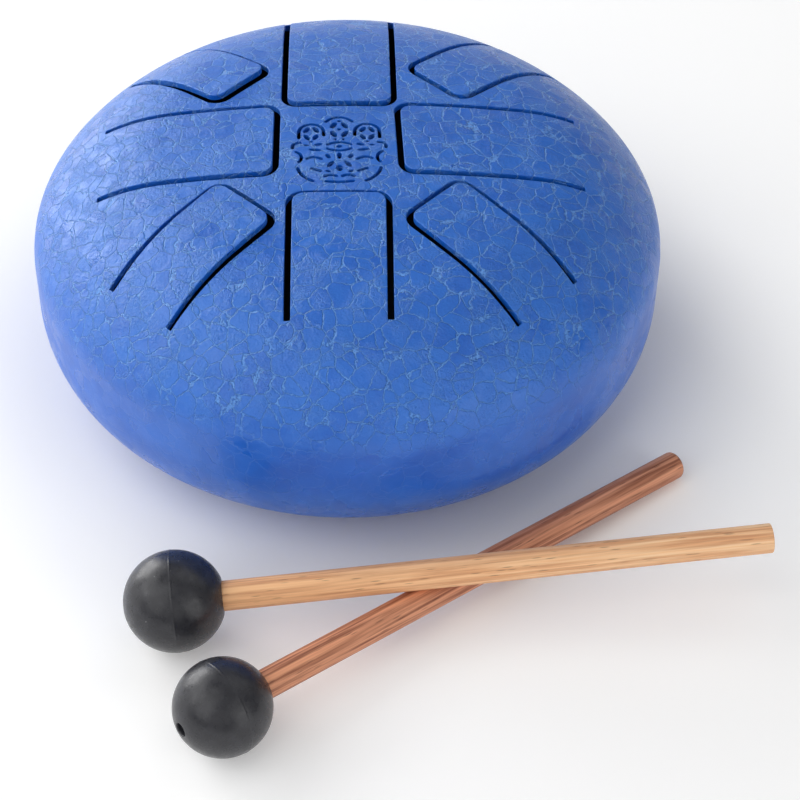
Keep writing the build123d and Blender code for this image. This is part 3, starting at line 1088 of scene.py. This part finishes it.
pads = Shape()
pad_low, pad_high = box_mm("foot_adhesive_pads")
feet = [box_mm(node) for node in sorted(frame["nodes"]) if node.startswith("rubber_foot_")]
pad_r = pad_high[0] - max((low[0] + high[0]) / 2 for low, high in feet)
for number, (low, high) in enumerate(feet, start=1):
    centre = ((low[0] + high[0]) / 2, (low[1] + high[1]) / 2)
    foot = Shape()
    lathe(foot, foot_runs((high[0] - low[0]) / 2, high[2] - low[2]), turns=FOOT_TURNS)
    where = Matrix.Translation((centre[0] * MM, centre[1] * MM, low[2] * MM))
    foot_piece = foot.make(f"foot_{number}", [FOOT_RUBBER], matrix=where)
    place_piece(foot_piece, "drum", f"rubber_foot_{number}")
    first = len(pads.points)
    lathe(pads, pad_runs(pad_r, pad_low[2], pad_high[2]), turns=FOOT_TURNS)
    for i in range(first, len(pads.points)):
        x, y, z = pads.points[i]
        pads.points[i] = (x + centre[0], y + centre[1], z)
place_piece(pads.make("foot_tape", [FOAM]), "drum", "foot_adhesive_pads")

# the wood's material name, rounding at the free end, and the wood's pale, middle, dark and far pale colours
MALLET_LOOKS = [
    ("light_wood", 0.3, (
        (0.98, 0.58, 0.30, 1), (0.94, 0.51, 0.25, 1), (0.64, 0.30, 0.145, 1), (0.98, 0.66, 0.39, 1),
    )),
    ("red_wood", 1.0, (
        (0.88, 0.40, 0.22, 1), (0.66, 0.27, 0.145, 1), (0.24, 0.075, 0.038, 1), (0.78, 0.36, 0.21, 1),
    )),
]
for number, (slot_name, end_round, colours) in enumerate(MALLET_LOOKS, start=1):
    mallet = Mallet(number)
    body = mallet.name
    head = Shape()
    lathe(head, head_runs(mallet.head_r, mallet.stick_r), turns=HEAD_TURNS)
    head_piece = head.moved(mallet.matrix).make(f"{body}_rubber_head", [HEAD_RUBBER])
    place_piece(head_piece, body, f"{body}_head")
    stick = Shape()
    lathe(stick, stick_runs(mallet.stick_r, mallet.length, end_round), turns=STICK_TURNS)
    grain = wood(slot_name, *colours, mallet.length)
    stick_piece = stick.make(f"{body}_wooden_stick", [grain], matrix=mallet.matrix)
    place_piece(stick_piece, body, f"{body}_stick")


# ======================== the stage
FLOOR_HALF = 3.0  # half the floor's side, in metres
FLOOR_GLOW = 0.2
LAMP_SIDE = 0.7  # in metres, as are the next two
LAMP_DISTANCE = 1.1
LAMP_AIM_HEIGHT = 0.03
WORLD_LIGHT = 0.12


def make_floor():
    """A large pale floor that glows a little, except under the drum."""
    mesh = bpy.data.meshes.new("floor")
    h = FLOOR_HALF
    mesh.from_pydata([(-h, -h, 0), (h, -h, 0), (h, h, 0), (-h, h, 0)], [], [(0, 1, 2, 3)])
    floor = bpy.data.objects.new("floor", mesh)
    bpy.context.scene.collection.objects.link(floor)
    f = Finish("floor_white", Roughness=0.9, Specular_IOR_Level=0.2)
    f.shader.inputs["Base Color"].default_value = (0.9, 0.9, 0.9, 1)
    f.shader.inputs["Emission Color"].default_value = (1, 1, 1, 1)
    from_drum = f.vector("LENGTH", f.place)
    f.set("Emission Strength", f.spread(from_drum, RADIUS * 0.9, RADIUS * 1.5, 0.0, FLOOR_GLOW))
    mesh.materials.append(f.material)


def make_lamp(name, heading, elevation, watts):
    """A soft square lamp that faces the drum, from a heading clockwise from +Y and an elevation."""
    turn, rise = radians(heading), radians(elevation)
    away = Vector((sin(turn) * cos(rise), cos(turn) * cos(rise), sin(rise)))
    lamp = bpy.data.lights.new(name, "AREA")
    lamp.shape = "SQUARE"
    lamp.size = LAMP_SIDE
    lamp.energy = watts
    light = bpy.data.objects.new(name, lamp)
    light.location = away * LAMP_DISTANCE + Vector((0, 0, LAMP_AIM_HEIGHT))
    light.rotation_euler = away.to_track_quat("Z", "Y").to_euler()
    bpy.context.scene.collection.objects.link(light)


def make_camera():
    """The camera: where it stands, where it points, its roll and its lens."""
    at = Vector((-0.00268, -0.40082, 0.37989))
    aim = Vector((0.01095, -0.05714, 0.0355))
    roll = radians(1.08)
    camera = bpy.data.cameras.new("camera")
    camera.lens = 98.33
    camera.sensor_width = 36.0
    camera.clip_start = 0.01
    view = bpy.data.objects.new("camera", camera)
    view.matrix_world = (
        Matrix.Translation(at)
        @ (at - aim).to_track_quat("Z", "Y").to_matrix().to_4x4()
        @ Matrix.Rotation(roll, 4, "Z")
    )
    bpy.context.scene.collection.objects.link(view)
    bpy.context.scene.camera = view


# a strong soft key from the back left, and fill from all round; headings are clockwise from +Y
LAMPS = [
    ("back_left_low", 315, 14, 7.2),
    ("back_left_high", 315, 38, 2.2),
    ("left_high", 270, 38, 2.8),
    ("left_low", 270, 14, 1.6),
    ("overhead_left", 225, 64, 1.7),
    ("front_left", 225, 30, 2.3),
    ("front", 180, 26, 1.0),
    ("front_right_low", 135, 14, 2.1),
    ("front_right_high", 135, 38, 1.1),
    ("right", 70, 38, 0.7),
    ("overhead_right", 45, 64, 0.9),
    ("back_low", 0, 14, 0.8),
]

make_floor()
for lamp_values in LAMPS:
    make_lamp(*lamp_values)
world = bpy.data.worlds.new("studio")
world.use_nodes = True
background = world.node_tree.nodes["Background"]
background.inputs["Color"].default_value = (1, 1, 1, 1)
background.inputs["Strength"].default_value = WORLD_LIGHT
bpy.context.scene.world = world
bpy.context.scene.view_settings.view_transform = "Standard"
make_camera()
